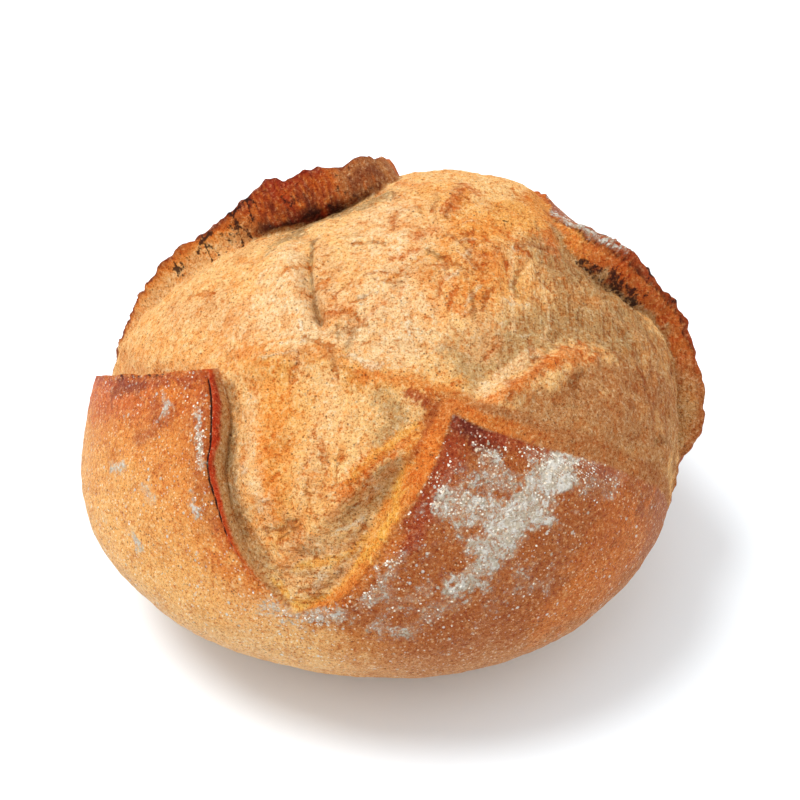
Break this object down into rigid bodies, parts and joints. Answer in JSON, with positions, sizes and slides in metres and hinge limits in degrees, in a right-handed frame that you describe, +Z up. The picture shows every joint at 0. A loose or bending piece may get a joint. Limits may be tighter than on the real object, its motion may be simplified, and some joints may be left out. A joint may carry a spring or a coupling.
{
  "type": "country loaf",
  "caption": "Round free-standing country loaf, scored with a cross that has opened wide: browned crust in lifted pieces with pale bloomed dough between them.",
  "frame": {"origin": "centre of the loaf's outline seen from above, on the flat underside it rests on", "axes": "+Z up, the loaf's shortest way; the loaf's front, with the widest view into the opened cross, looks along -Y, and +X is to its right"},
  "size_m": [0.218, 0.2109, 0.1338],
  "materials": {
    "crust": "matt baked crust, golden to red-brown, dusted with flour"
  },
  "bodies": {
    "root": {"country_loaf": "crust"}
  },
  "joints": []
}
